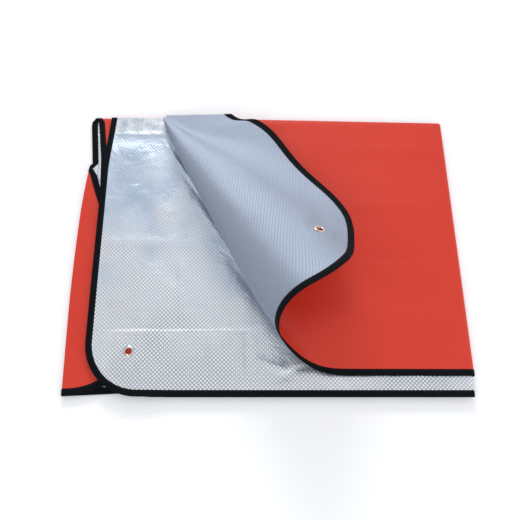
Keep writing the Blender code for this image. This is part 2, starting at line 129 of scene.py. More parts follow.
# The leaves lie higher beside the thick taped edges: by the pack's left side, within these places, and
# leaf D by its front edge, within these distances of it.
EDGE_RISE = dict(height=0.0012, full=0.016, none=0.045)
LEFT_RISE = dict(full_x=-0.360, none_x=-0.335)
# Where the leaves lie loosely, a mound lifts its leaf and those above it: leaf, x, y, half width, half
# depth and height.
LOFT = (
    ("C", -0.05, -0.02, 0.16, 0.13, 0.0030),
    ("B", -0.20, -0.10, 0.09, 0.07, 0.0035),
    ("B", -0.10, 0.06, 0.10, 0.06, 0.0025),
    ("B", 0.10, -0.14, 0.14, 0.06, 0.0030),
    ("A", 0.24, 0.04, 0.11, 0.12, 0.0050),
    ("A", 0.16, -0.16, 0.10, 0.05, 0.0040),
)
LOFT_SPREAD = 1.6          # where a mound ends, in its half sizes
STACK = "DCBA"             # from the lowest leaf up
FOLD_FADE = 0.05           # distance from a fold over which lofts and rises come in

# ---- looks ----
FILM = 0.0008              # thickness of the sheet that shows
FACET = 0.0095             # spacing of its points
ROW_GAP = 0.87 * FACET     # spacing of its rows of points
POINT_CLEAR = 0.55 * FACET  # least distance of such a point from the lines
RIM_CLEAR = 0.016          # and from the sheet's edge
CORNER_STEPS = 24
HOLE_SIDES = 24
HOLE_RINGS = (0.0125, 0.018)
CORE_TURNS = range(165, 0, -15)  # degrees
OVERRUN = 1.05             # how far the lines of the folds run, in leaf sizes
FOLD_STEPS = (-1, -0.67, -0.33, 0, 0.33, 0.67, 1)
TURN_FACETS = 5
CREASE_GAP = 0.008         # spacing of points along a narrow crease
CREASE_ROWS = (-1.5, -0.7, 0.0, 0.7, 1.5)  # rows of points along it, in its half widths
NARROW_CREASE = 0.009      # half width up to which a crease has such rows
NEAR_GAP = (-0.05, 0.12)   # where along the left edge a triangle may lie off the sheet
TAPE = 0.0007
TAPE_CLEAR = 0.00005       # between the film and the tape's legs
YARN_GAP = 0.0057          # between the reinforcing yarns
STITCH_INSET = 0.0095
STITCH_GAP = 0.0042
STITCH_LENGTH = 0.0026
STITCH_LIFT = 1.08         # height of a stitch's middle, in thicknesses of the tape
STITCH_SPOTS = (0.0, 0.35, 0.65, 1.0)
STITCH_SIDES = 6

# Creases pressed into a leaf while it was stored folded: the leaf, the crease's start and end on the
# folded pack, its half width, and the height of its ridge, or below 0 the depth of its trough.
CREASES = (
    ("B", (-0.352, 0.260), (-0.190, 0.258), 0.0050, 0.00105),
    ("B", (-0.352, 0.244), (-0.190, 0.242), 0.0120, -0.0006),
    ("B", (-0.355, 0.000), (-0.130, 0.004), 0.0120, 0.0018),
    ("B", (-0.350, -0.185), (-0.020, -0.180), 0.0045, -0.0015),
    ("B", (-0.350, -0.176), (-0.020, -0.171), 0.0080, 0.0012),
    ("B", (-0.179, -0.030), (-0.171, -0.185), 0.0050, 0.00135),
    ("B", (-0.128, -0.185), (-0.118, -0.270), 0.0050, -0.0012),
    ("B", (-0.045, -0.180), (-0.040, -0.295), 0.0050, -0.00135),
    ("B", (0.010, -0.278), (0.075, -0.245), 0.0070, -0.0021),
    ("B", (-0.030, -0.235), (0.040, -0.260), 0.0070, 0.0018),
    ("B", (-0.260, -0.285), (-0.150, -0.235), 0.0120, 0.0012),
    ("B", (-0.330, -0.100), (-0.240, -0.145), 0.0140, 0.0012),
    ("B", (-0.300, 0.130), (-0.200, 0.060), 0.0180, 0.00135),
    ("B", (-0.240, -0.020), (-0.150, -0.110), 0.0160, -0.0015),
    ("B", (0.120, -0.280), (0.200, -0.272), 0.0080, 0.0015),
    ("B", (0.235, -0.290), (0.300, -0.274), 0.0070, -0.0015),
    ("A", (0.180, -0.033), (0.388, -0.030), 0.0040, -0.0009),
    ("A", (0.140, 0.215), (0.386, 0.217), 0.0120, 0.0009),
    ("A", (0.150, 0.085), (0.387, 0.087), 0.0140, 0.0009),
    ("A", (0.120, -0.150), (0.389, -0.145), 0.0150, 0.0009),
)
# The same on leaf B beside the peeled corner's fold line: distance from that line, start and end along
# it, half width and height.
FOLD_PLEATS = (
    (0.0100, 0.06, 0.30, 0.0028, 0.0011),
    (0.0170, 0.10, 0.42, 0.0032, -0.0010),
    (0.0250, 0.05, 0.36, 0.0040, 0.0010),
    (0.0340, 0.14, 0.44, 0.0040, -0.0008),
    (0.0450, 0.22, 0.50, 0.0060, 0.0012),
    (0.0600, 0.36, 0.56, 0.0070, -0.0011),
)
CREASE_REACH = 2.5         # how far a crease goes to either side, in its half widths
CREASE_PAST = 0.1          # share of its length that it runs on past each end
CREASE_ENDS = 0.3          # share of its length over which it comes in
# Broad soft dents in the leaves from handling, of these heights: noise with a layer of detail.
DENTS = dict(A=0.0007, B=0.0012, C=0.0, D=0.0005)
DENT_CUT = 3.1             # height at which the noise is cut
DENT_SCALE = 11
DENT_DETAIL = dict(share=0.5, scale=2.3)
# Creases and dents stay clear of the tape, the eyelets and the folds: none at the first distance,
# whole at the sum of both.  Where the surface is steep they fade out so too, by its normal's z.
TAPE_CLEARANCE = (0.010, 0.02)
EYELET_CLEARANCE = (0.013, 0.02)
FOLD_CLEARANCE = (0.012, 0.02)
STEEP = (0.25, 0.5)


def smooth(t):
    t = min(max(t, 0.0), 1.0)
    return t * t * (3 - 2 * t)


def beyond(value, clearance):
    """0 up to the clearance's start, 1 after its width."""
    start, width = clearance
    return smooth((value - start) / width)


# ---- folding, as in the CAD ----

def leaf_of(p, q):
    if p < 0:
        return "A" if q > 0 else "B"
    return "D" if q > 0 else "C"


def edge_shift(leaf, v):
    for start, end, near, far in zip(SHIFT_AT, SHIFT_AT[1:], EDGE_SHIFT[leaf], EDGE_SHIFT[leaf][1:]):
        if v < end:
            break
    return near + (far - near) * (v - start) / (end - start)


def loft(leaf, x, y):
    height = 0.0
    for lowest, at_x, at_y, wide, deep, high in LOFT:
        if STACK.index(lowest) <= STACK.index(leaf):
            far = math.hypot((x - at_x) / wide, (y - at_y) / deep)
            height += high * smooth(1 - far / LOFT_SPREAD)
    if leaf != "D":
        across = (TURN_LIFT["none_x"] - x) / (TURN_LIFT["none_x"] - TURN_LIFT["full_x"])
        along = (TURN_LIFT["none_y"] - y) / (TURN_LIFT["none_y"] - TURN_LIFT["full_y"])
        height += PITCH * smooth(across) * smooth(along)
    return height


def from_outline(p, q):
    length = SHORT_LEAF if q > 0 else LONG_LEAF
    du, dv = HALF_WIDTH - abs(p), length - abs(q)
    if du < CORNER_RADIUS and dv < CORNER_RADIUS:
        return CORNER_RADIUS - math.hypot(CORNER_RADIUS - du, CORNER_RADIUS - dv)
    return min(du, dv)


def edge_rise(leaf, p, q, x):
    rise = smooth((LEFT_RISE["none_x"] - x) / (LEFT_RISE["none_x"] - LEFT_RISE["full_x"]))
    if leaf == "D":
        front = smooth((EDGE_RISE["none"] - SHORT_LEAF + q) / (EDGE_RISE["none"] - EDGE_RISE["full"]))
        rise = max(rise, front * smooth(p / FOLD_FADE))
    return EDGE_RISE["height"] * rise


def cone_ray(angle):
    ray, across, up = Vector((1, 0, 0)), Vector((0, 1, 0)), Vector((0, 0, 1))
    for stretch in PEEL_ROLL:
        part = min(angle, math.radians(stretch["span"]))
        axis = stretch["bend"] * ray + up
        turn = Matrix.Rotation(part * axis.length, 3, axis.normalized())
        ray, across, up = turn @ ray, turn @ across, turn @ up
        angle -= part
        if angle <= 0:
            break
    return ray


def peel_ray(angle):
    along, across, up = cone_ray(angle)
    flat = along * PEEL_RAY + across * PEEL_ACROSS
    return Vector((flat.x, flat.y, up))


def swell(p, q):
    """Sideways and backward move of a point of the peeled corner, even all round its eyelet."""
    eyelet = eyelet_centres()["eyelet_peeled"]
    offset = Vector((p, q)) - eyelet
    p, q = eyelet + smooth((offset.length - SWELL_EVEN[0]) / (SWELL_EVEN[1] - SWELL_EVEN[0])) * offset
    x = y = 0.0
    for at_p, at_q, reach, move_x, move_y in PEEL_SWELL:
        far = math.hypot(p - at_p, q - at_q) / reach
        share = math.exp(-far * far)
        x += move_x * share
        y += move_y * share
    return x, y


def peeled(p, q):
    offset = Vector((PLANE_X + p, PLANE_Y - q)) - PEEL_POINT
    angle = math.atan2(offset.dot(PEEL_ACROSS), offset.dot(PEEL_RAY))
    if angle <= 0:
        return None
    ray = peel_ray(angle)
    far = offset.length
    half_turn = math.radians(PEEL_ROLL[0]["span"])
    x, y, z = PEEL_POINT.x + far * ray.x, PEEL_POINT.y + far * ray.y, far * ray.z
    z += PITCH * smooth(angle / half_turn)
    swell_x, swell_y = swell(p, q)
    whole = smooth(angle / SWELL_START)
    x += whole * swell_x
    y += whole * swell_y * smooth((CREST_Y - y) / SWELL_FADE)
    past = y - CREST_Y
    if past > 0:
        around = min(past / CREST_RADIUS, math.pi / 2)
        y = CREST_Y + CREST_RADIUS * math.sin(around)
        z -= CREST_RADIUS * (1 - math.cos(around)) + past - CREST_RADIUS * around
    return x, y, z


def turn_width(q):
    """Width of leaf D's turned margin at a distance from the back fold."""
    for near, far in zip(TURN_LINE, TURN_LINE[1:]):
        if q < far["q"]:
            break
    share = max((q - near["q"]) / (far["q"] - near["q"]), 0.0)
    return near["width"] + (far["width"] - near["width"]) * share


def turned(p, q):
    """Leaf D's flat point moved back to its turned-over place, with the height that the turn gives it."""
    line = HALF_WIDTH - turn_width(q)
    past = p - line
    if past <= 0:
        return p, q, 0.0
    if past < math.pi * ROLL:
        return line + ROLL * math.sin(past / ROLL), q, ROLL * (1 - math.cos(past / ROLL))
    return line + math.pi * ROLL - past, q, PITCH


def fold(p, q):
    """The folded place of a point of the flat sheet's middle surface."""
    leaf = leaf_of(p, q)
    flat = p, q
    flap = peeled(p, q) if leaf == "A" else None
    height = 0.0
    if leaf == "D":
        p, q, height = turned(p, q)
    u, v = abs(p), abs(q)
    rolled = p > PEEL_X - PLANE_X - TINY
    if v < QUARTER_ROLL and rolled:
        y = BACK_FOLD_Y + ROLL * math.cos(v / ROLL)
        level = math.copysign(ROLL * math.sin(v / ROLL), q)
    else:
        y = PLANE_Y - v
        level = math.copysign(ROLL, q)
    radius = PITCH + level
    if u < QUARTER_WRAP:
        x = RIGHT_FOLD_X + radius * math.cos(u / PITCH)
        z = MIDDLE_Z - math.copysign(radius * math.sin(u / PITCH), p)
    else:
        x = PLANE_X - u
        z = MIDDLE_Z - math.copysign(radius, p)
    if flap:
        x, y, height = flap
    share = min(u / HALF_WIDTH, 1.0)
    x += edge_shift(leaf, v) * share
    y += FRONT_SKEW[leaf] * share * v / SHORT_LEAF
    z += height + edge_rise(leaf, *flat, x)
    if u > QUARTER_WRAP and v > QUARTER_ROLL:
        inside = smooth((u - QUARTER_WRAP) / FOLD_FADE) * smooth((v - QUARTER_ROLL) / FOLD_FADE)
        z += loft(leaf, x, y) * inside
    right = min(max((x - LEAN_X["start"]) / LEAN_X["span"], 0.0), LEAN_X["most"])
    back = (y - LEAN_Y["start"]) / LEAN_Y["span"]
    return Vector((x - RIGHT_LEAN * right * back, y - BACK_TILT * right * back, z))


def fold_normal(p, q, step=0.0004):
    along = fold(p + step, q) - fold(p - step, q)
    across = fold(p, q + step) - fold(p, q - step)
    return along.cross(across).normalized()


# ---- creases ----

def crease_lines():
    """Every crease as leaf, start, end, width and height, on the folded pack."""
    side = Vector((-PEEL_RAY.y, PEEL_RAY.x))
    lines = []
    for leaf, start, end, wide, high in CREASES:
        lines.append((leaf, Vector(start), Vector(end), wide, high))
    for aside, start, end, wide, high in FOLD_PLEATS:
        ends = [PEEL_POINT + along * PEEL_RAY - aside * side for along in (start, end)]
        lines.append(("B", *ends, wide, high))
    return lines


CREASE_LINES = crease_lines()


def crease_height(leaf, p, q, place):
    """Height that creases and dents add to the folded surface at a place of the pack."""
    height = 0.0
    in_peel = leaf == "A" and peeled(p, q) is not None
    for name, start, end, wide, high in CREASE_LINES:
        if name != leaf or in_peel:
            continue
        line = end - start
        along = (place.xy - start).dot(line) / line.length_squared
        if not -CREASE_PAST < along < 1 + CREASE_PAST:
            continue
        aside = (place.xy - start - along * line).length / wide
        if aside < CREASE_REACH:
            ends = smooth((along + CREASE_PAST) / CREASE_ENDS)
            ends *= smooth((1 + CREASE_PAST - along) / CREASE_ENDS)
            height += high * ends * math.exp(-aside * aside)
    spot = Vector((p * DENT_SCALE, q * DENT_SCALE, DENT_CUT))
    detail = noise.noise(spot * DENT_DETAIL["scale"])
    height += DENTS[leaf] * (noise.noise(spot) + DENT_DETAIL["share"] * detail)
    eyelets = min((Vector((p, q)) - centre).length for centre in eyelet_centres().values())
    return height * beyond(from_outline(p, q), TAPE_CLEARANCE) * beyond(eyelets, EYELET_CLEARANCE)


# ---- the flat pattern ----

def crest_angle():
    """Flat angle of the ray of the peeled corner that lies over the back fold."""
    low, high = math.radians(45), math.radians(110)
    for _ in range(40):
        middle = (low + high) / 2
        if peel_ray(middle).y < 0:
            low = middle
        else:
            high = middle
    return low


def outline(inset):
    """Points of the sheet's edge, or of a line inset from it, round from leaf B's corner to leaf A's."""
    radius = CORNER_RADIUS - inset
    right, top, bottom = HALF_WIDTH - inset, SHORT_LEAF - inset, LONG_LEAF - inset
    corners = ((-1, -1, 180), (1, -1, 270), (1, 1, 0), (-1, 1, 90))
    points = []
    for side, end, start in corners:
        length = top if end > 0 else bottom
        centre = Vector((side * (right - radius), end * (length - radius)))
        for step in range(CORNER_STEPS + 1):
            turn = math.radians(start + 90 * step / CORNER_STEPS)
            points.append(centre + radius * Vector((math.cos(turn), math.sin(turn))))
    return points


def flat_of(spot):
    """Flat point of a place on the plane of leaf A, before it is peeled."""
    return Vector((spot.x - PLANE_X, PLANE_Y - spot.y))


def flat_ray(angle):
    return math.cos(angle) * PEEL_RAY + math.sin(angle) * PEEL_ACROSS


def left_end(inset):
    """Ends of the line where the film bent down behind the crest stops: at the left edge and at the gap."""
    angle = crest_angle()
    ray = flat_ray(angle)
    side = -math.sin(angle) * PEEL_RAY + math.cos(angle) * PEEL_ACROSS
    start = PEEL_POINT + CREST_DROP * side
    edge_x = PLANE_X - HALF_WIDTH + inset
    on_edge = start + ray * (edge_x - start.x) / ray.x
    on_slit = start + ray * (PLANE_Y - SLIT - start.y) / ray.y
    return flat_of(on_edge), flat_of(on_slit)


def chain(points, closed=False):
    ends = points[1:] + points[:1] if closed else points[1:]
    return list(zip(points, ends))


def spaced(start, end, gap=FACET):
    count = max(1, round((end - start).length / gap))
    return [start.lerp(end, i / count) for i in range(count + 1)]


def refined(points):
    result = []
    for start, end in zip(points, points[1:]):
        result += spaced(start, end)[:-1]
    return result + [points[-1]]


def border(inset):
    """The outline with its two ends at the peeled corner."""
    return [Vector((-HALF_WIDTH + inset, -SLIT))] + outline(inset) + [left_end(inset)[0]]


def peel_line(angle):
    ray = flat_ray(angle)
    return flat_of(PEEL_POINT + PEEL_START * ray), flat_of(PEEL_POINT + PEEL_REACH * ray)


def fold_lines():
    peel_p = PEEL_X - PLANE_X
    lines = []
    for part in FOLD_STEPS:
        along = part * QUARTER_ROLL
        lines.append((Vector((peel_p, along)), Vector((OVERRUN * HALF_WIDTH, along))))
        across = part * QUARTER_WRAP
        lines.append((Vector((across, -OVERRUN * LONG_LEAF)), Vector((across, OVERRUN * SHORT_LEAF))))
    for part in range(TURN_FACETS + 1):
        aside = part / TURN_FACETS * math.pi * ROLL
        line = [Vector((HALF_WIDTH - row["width"] + aside, row["q"])) for row in TURN_LINE]
        lines += chain(line)
    angle = 0.0
    for stretch in PEEL_ROLL[:-1]:
        for _ in range(stretch["facets"]):
            lines.append(peel_line(angle))
            angle += math.radians(stretch["span"]) / stretch["facets"]
    for aside in (-CREST_SIDES, 0.0, CREST_SIDES):
        lines.append(peel_line(crest_angle() + aside))
    return [spaced(start, end) for start, end in lines]


def eyelet_centres():
    across = EYELET_INSET - HALF_WIDTH
    return {
        "eyelet_peeled": Vector((across, SHORT_LEAF - EYELET_INSET)),
        "eyelet_front": Vector((across, EYELET_INSET - LONG_LEAF)),
    }


def ring(centre, radius, sides=HOLE_SIDES):
    turns = [2 * math.pi * i / sides for i in range(sides)]
    return [centre + radius * Vector((math.cos(t), math.sin(t))) for t in turns]


def tree_of(points):
    tree = KDTree(len(points))
    for i, point in enumerate(points):
        tree.insert((point.x, point.y, 0), i)
    tree.balance()
    return tree


def middle_of(points, face):
    return sum((points[i] for i in face), Vector((0, 0))) / 3


def flat_pattern():
    """Fine triangles of the flat sheet, with edges along its folds, creases, tape and eyelet holes."""
    on_slit = left_end(0.0)[1]
    peel_p = PEEL_X - PLANE_X
    turns = [math.radians(turn) for turn in CORE_TURNS]
    core = [Vector((peel_p + PEEL_CORE * math.cos(t), PEEL_CORE * math.sin(t))) for t in turns]
    rim = refined(border(0.0)) + refined([left_end(0.0)[0], on_slit])[1:] + core + [Vector((peel_p, -SLIT))]
    rim += refined([Vector((peel_p, -SLIT)), Vector((-HALF_WIDTH, -SLIT))])[1:-1]
    points, edges, index = [], [], {}

    def place(point):
        key = (round(point.x, 6), round(point.y, 6))
        if key not in index:
            index[key] = len(points)
            points.append(Vector(key))
        return index[key]

    def mark(line, closed=False):
        indices = [place(point) for point in line]
        edges.extend(chain(indices, closed))
        return indices

    face = mark(rim, closed=True)
    for inset in (0.5 * TAPE_WIDTH, TAPE_WIDTH):
        mark(refined(border(inset)))
    holes = [ring(centre, SHEET_HOLE) for centre in eyelet_centres().values()]
    for hole in holes:
        mark(hole, closed=True)
    for centre in eyelet_centres().values():
        for reach in HOLE_RINGS:
            mark(ring(centre, reach), closed=True)
    for line in fold_lines():
        mark(line)
    for leaf, start, end, wide, _ in CREASE_LINES:
        if wide > NARROW_CREASE:
            continue
        side = Vector((start.y - end.y, end.x - start.x)).normalized()
        for aside in CREASE_ROWS:
            mark([unfolded(leaf, spot + aside * wide * side) for spot in spaced(start, end, CREASE_GAP)])
    tree = tree_of(points)
    for row in range(int((LONG_LEAF + SHORT_LEAF) / ROW_GAP)):
        for column in range(int(2 * HALF_WIDTH / FACET) + 1):
            across, along = FACET * (column + 0.5 * (row % 2)), ROW_GAP * (row + 0.6)
            point = Vector((across - HALF_WIDTH, along - LONG_LEAF))
            clear = tree.find((point.x, point.y, 0))[2] > POINT_CLEAR
            if clear and from_outline(point.x, point.y) > RIM_CLEAR:
                place(point)
    verts, _, faces, *_ = delaunay_2d_cdt(points, edges, [face], 0, MERGE)
    return verts, [face for face in faces if kept(middle_of(verts, face), rim, holes)]


def unfolded(leaf, spot):
    """Flat point of a place on leaf A or B of the pack, to within the small lean of its edges."""
    p, q = spot.x - PLANE_X, PLANE_Y - spot.y
    if leaf == "B":
        q = -q
    for _ in range(4):
        place = fold(p, q)
        p += spot.x - place.x
        q += (spot.y - place.y) * (1 if leaf == "B" else -1)
    return Vector((p, q))


def within(point, loop):
    odd = False
    for a, b in chain(loop, closed=True):
        if (a.y > point.y) != (b.y > point.y):
            if point.x < a.x + (b.x - a.x) * (point.y - a.y) / (b.y - a.y):
                odd = not odd
    return odd


def kept(point, rim, holes):
    """Whether the middle of a triangle lies on the sheet."""
    if from_outline(point.x, point.y) < 0:
        return False
    near_gap = point.x < PEEL_X - PLANE_X + PEEL_CORE and NEAR_GAP[0] < point.y < NEAR_GAP[1]
    if near_gap and not within(point, rim):
        return False
    return not any(within(point, hole) for hole in holes)


# ---- materials ----

COLOURS = dict(
    cell_a=(0.362, 0.405, 0.485),  # silver film between the yarns, on leaf A, painted darker than on leaf B as painted shade
    cell_shade=(0.510, 0.605, 0.725),  # and on leaf B, mottled from painted shade to painted reflection
    cell_light=(0.700, 0.785, 0.890),
    band_shade=(0.50, 0.55, 0.61),  # and on the band along leaf B's back fold, a painted highlight
    band_light=(0.76, 0.80, 0.84),
    painted_highlight=(1.0, 1.0, 1.0),  # painted white highlight, where the painted sparkle on leaf B is strongest
    yarn_a=(0.350, 0.415, 0.510),  # over the yarns, where the painted sparkle is least
    yarn_b=(0.330, 0.380, 0.450),  # and most
    red_shade=(0.615, 0.034, 0.014),
    red_light=(0.685, 0.042, 0.019),
    red_yarn=(0.47, 0.030, 0.022),
    tape_shade=(0.0012, 0.0022, 0.0036),
    tape_light=(0.0026, 0.0040, 0.0058),
    tape_lint=(0.010, 0.013, 0.018),
    thread_shade=(0.010, 0.011, 0.014),
    thread_light=(0.034, 0.036, 0.042),
    nickel=(0.64, 0.62, 0.58),
    brass=(0.46, 0.36, 0.23),
)
# The band of leaf B along its back fold, painted brighter as a highlight, where the yarns hardly show.  Each
# limit is a narrow step.
BAND_FRONT = (-0.0436, -0.0426)
BAND_BACK = (0.001, 0.0)
BAND_RIGHT = (0.0, -0.001)
SILVER_YARN = (0.50, 0.86)  # from where to where a yarn's line fades in
RED_YARN = (0.45, 0.95)
YARNS_BEFORE = 100.0       # whole yarns added, so that none has a negative place
TAPE_RIB = 0.0009


class Nodes:
    """Short way to write the node tree of a material or of the world."""

    def __init__(self, owner, shader="Principled BSDF"):
        owner.use_nodes = True
        self.tree = owner.node_tree
        self.shader = self.tree.nodes[shader]

    def new(self, kind, **settings):
        node = self.tree.nodes.new(kind)
        for key, value in settings.items():
            setattr(node, key, value)
        return node

    def link(self, source, target):
        self.tree.links.new(source, target)

    def put(self, socket, value):
        """Set a number or a colour on a socket, or link a source to it."""
        if isinstance(value, (int, float)):
            socket.default_value = value
        elif isinstance(value, tuple):
            socket.default_value = (*value, 1)
        elif value is not None:
            self.link(value, socket)

    def feed(self, name, source):
        """Link a source to the shader's input of that name."""
        self.link(source, self.shader.inputs[name])

    def split(self, coordinates):
        """The x, y and z of coordinates."""
        node = self.new("ShaderNodeSeparateXYZ")
        self.link(coordinates, node.inputs[0])
        return node.outputs

    def math(self, operation, first, second=None, third=None):
        node = self.new("ShaderNodeMath", operation=operation)
        for socket, value in zip(node.inputs, (first, second, third)):
            self.put(socket, value)
        return node.outputs[0]

    def ramp(self, value, low, high, least=0.0, most=1.0):
        """least below low, most above high, smooth between; low may be the greater of the two."""
        node = self.new("ShaderNodeMapRange", interpolation_type="SMOOTHSTEP")
        self.link(value, node.inputs["Value"])
        for name, number in (("From Min", low), ("From Max", high), ("To Min", least), ("To Max", most)):
            node.inputs[name].default_value = number
        return node.outputs["Result"]

    def mix(self, share, first, second):
        node = self.new("ShaderNodeMix", data_type="RGBA")
        for socket, value in ((0, share), (6, first), (7, second)):
            self.put(node.inputs[socket], value)
        return node.outputs[2]

    def noise(self, coordinates, scale, detail=3.0, roughness=0.5, distortion=0.0):
        node = self.new("ShaderNodeTexNoise")
        self.link(coordinates, node.inputs["Vector"])
        node.inputs["Scale"].default_value = scale
        node.inputs["Detail"].default_value = detail
        node.inputs["Roughness"].default_value = roughness
        node.inputs["Distortion"].default_value = distortion
        return node.outputs[0]

    def flat(self):
        """Flat coordinates of the cloth in metres."""
        return self.new("ShaderNodeUVMap", uv_map="flat").outputs[0]

    def bump(self, height, distance, strength=1.0, normal=None):
        node = self.new("ShaderNodeBump")
        node.inputs["Strength"].default_value = strength
        node.inputs["Distance"].default_value = distance
        self.link(height, node.inputs["Height"])
        if normal is not None:
            self.link(normal, node.inputs["Normal"])
        return node.outputs[0]

    def attribute(self, name):
        return self.new("ShaderNodeAttribute", attribute_name=name).outputs["Fac"]


def yarns(n, flat):
    """The two families of diagonal yarns: each 1 on a yarn's middle line and 0 half-way to the next."""
    p, q, _ = n.split(flat)
    step = 1 / (math.sqrt(2) * YARN_GAP)
    families = []
    for operation in ("ADD", "SUBTRACT"):
        across = n.math("MULTIPLY", n.math(operation, p, q), step)
        saw = n.math("FRACT", n.math("ADD", across, YARNS_BEFORE))
        families.append(n.math("MULTIPLY", n.math("ABSOLUTE", n.math("SUBTRACT", saw, 0.5)), 2.0))
    return families


def quilting(n, first, second):
    """The film's ridges over the yarns."""
    return n.math("ADD", n.math("POWER", first, 3.0), n.math("POWER", second, 3.0))


def new_material(name):
    mat = bpy.data.materials.new(name)
    return mat, Nodes(mat)


def silver_film():
    """Aluminised film, quilted by the yarns under it.  Its colour holds painted reflection: the painted
    sparkle of its points brightens it, up to white, and is next to nothing on leaf A."""
    mat, n = new_material("silver_film")
    flat = n.flat()
    first, second = yarns(n, flat)
    painted_sparkle = n.attribute("painted_sparkle")
    # The yarn lines follow the painted sparkle: where it is low, the first family fades and all lines are
    # fainter.
    crossing = n.math("MULTIPLY_ADD", n.ramp(painted_sparkle, 0.15, 0.60), 0.80, 0.20)
    one_way = n.math("MULTIPLY", n.ramp(first, *SILVER_YARN), crossing)
    yarn = n.math("MAXIMUM", one_way, n.ramp(second, *SILVER_YARN))
    # Painted light: the film is painted darker on leaf A, and on leaf B in clouds from painted shade to
    # painted reflection.
    cloud = n.ramp(n.noise(flat, scale=9.0, detail=4.0, roughness=0.55), 0.35, 0.65)
    fine = n.noise(flat, scale=420.0, detail=2.0, roughness=0.6)
    on_b = n.ramp(painted_sparkle, 0.03, 0.09)
    cell = n.mix(on_b, COLOURS["cell_a"], n.mix(cloud, COLOURS["cell_shade"], COLOURS["cell_light"]))
    p, q, _ = n.split(flat)
    # The band along leaf B's back fold is a painted highlight: brighter, mottled, with its yarn lines
    # painted faint.
    on_band = n.math("MULTIPLY", n.ramp(q, *BAND_FRONT), n.ramp(p, *BAND_RIGHT))
    on_band = n.math("MULTIPLY", on_band, n.ramp(q, *BAND_BACK))
    wear_and_sheen = n.ramp(n.noise(flat, scale=60.0, detail=4.0, roughness=0.7), 0.36, 0.62)
    cell = n.mix(on_band, cell, n.mix(wear_and_sheen, COLOURS["band_shade"], COLOURS["band_light"]))
    # Painted highlight: the colour goes to white where the painted sparkle is strong.
    bright = n.mix(n.ramp(painted_sparkle, 0.10, 0.75), cell, COLOURS["painted_highlight"])
    dull = n.mix(painted_sparkle, COLOURS["yarn_a"], COLOURS["yarn_b"])
    ink = n.math("MULTIPLY_ADD", painted_sparkle, 0.62, 0.30)
    ink = n.math("MULTIPLY", ink, n.math("MULTIPLY_ADD", on_band, -0.8, 1.0))
    n.feed("Base Color", n.mix(n.math("MULTIPLY", yarn, ink), bright, dull))
    n.shader.inputs["Metallic"].default_value = 0.92
    rough = n.math("MULTIPLY_ADD", yarn, 0.10, n.math("MULTIPLY_ADD", painted_sparkle, -0.06, 0.60))
    rough = n.math("MULTIPLY_ADD", on_b, -0.32, rough)
    n.feed("Roughness", n.math("MULTIPLY_ADD", fine, 0.08, rough))
    crinkle = n.noise(flat, scale=70.0, detail=5.0, roughness=0.6, distortion=0.4)
    dents = n.noise(flat, scale=19.0, detail=3.0, roughness=0.55, distortion=0.8)
    normal = n.bump(n.math("MULTIPLY", dents, on_b), distance=0.010, strength=0.22)
    normal = n.bump(crinkle, distance=0.0012, strength=0.45, normal=normal)
    n.feed("Normal", n.bump(quilting(n, first, second), distance=0.00022, strength=0.55, normal=normal))
    return mat


def red_film():
    """Satin red-orange film with the yarns showing through faintly."""
    mat, n = new_material("red_film")
    flat = n.flat()
    first, second = yarns(n, flat)
    yarn = n.math("MAXIMUM", n.ramp(first, *RED_YARN), n.ramp(second, *RED_YARN))
    cloud = n.noise(flat, scale=6.0, detail=4.0, roughness=0.55)
    base = n.mix(cloud, COLOURS["red_shade"], COLOURS["red_light"])
    n.feed("Base Color", n.mix(n.math("MULTIPLY", yarn, 0.16), base, COLOURS["red_yarn"]))
    fine = n.noise(flat, scale=900.0, detail=2.0, roughness=0.6)
    n.feed("Roughness", n.math("MULTIPLY_ADD", fine, 0.14, 0.40))
    n.shader.inputs["Specular IOR Level"].default_value = 0.36
    crinkle = n.noise(flat, scale=40.0, detail=5.0, roughness=0.6, distortion=0.3)
    normal = n.bump(crinkle, distance=0.0012, strength=0.30)
    n.feed("Normal", n.bump(quilting(n, first, second), distance=0.00010, strength=0.45, normal=normal))
    return mat


def woven_tape():
    """Black woven tape: fine ribs both ways, with some lint."""
    mat, n = new_material("woven_tape")
    flat = n.flat()
    ribs = []
    for side in n.split(flat)[:2]:
        wave = n.math("SINE", n.math("MULTIPLY", side, 2 * math.pi / TAPE_RIB))
        ribs.append(n.math("MULTIPLY_ADD", wave, 0.5, 0.5))
    weave = n.math("MULTIPLY", ribs[0], ribs[1])
    lint = n.noise(flat, scale=260.0, detail=4.0, roughness=0.65)
    wear_and_sheen = n.noise(flat, scale=22.0, detail=3.0, roughness=0.5)
    base = n.mix(wear_and_sheen, COLOURS["tape_shade"], COLOURS["tape_light"])
    share = n.math("MULTIPLY", weave, n.math("MULTIPLY", lint, 0.45))
    n.feed("Base Color", n.mix(share, base, COLOURS["tape_lint"]))
    n.feed("Roughness", n.math("MULTIPLY_ADD", lint, 0.18, 0.66))
    n.shader.inputs["Sheen Weight"].default_value = 0.01
    n.shader.inputs["Sheen Roughness"].default_value = 0.45
    n.shader.inputs["Specular IOR Level"].default_value = 0.09
    normal = n.bump(weave, distance=0.00025, strength=0.7)
    n.feed("Normal", n.bump(lint, distance=0.00015, strength=0.4, normal=normal))
    return mat


def thread_look():
    """Dark twisted sewing thread."""
    mat, n = new_material("tape_thread")
    coordinates = n.new("ShaderNodeTexCoord").outputs["Object"]
    twist = n.noise(coordinates, scale=2600.0, detail=2.0, roughness=0.5)
    n.feed("Base Color", n.mix(twist, COLOURS["thread_shade"], COLOURS["thread_light"]))
    n.feed("Roughness", n.math("MULTIPLY_ADD", twist, 0.2, 0.45))
    n.feed("Normal", n.bump(twist, distance=0.0001, strength=0.6))
    return mat


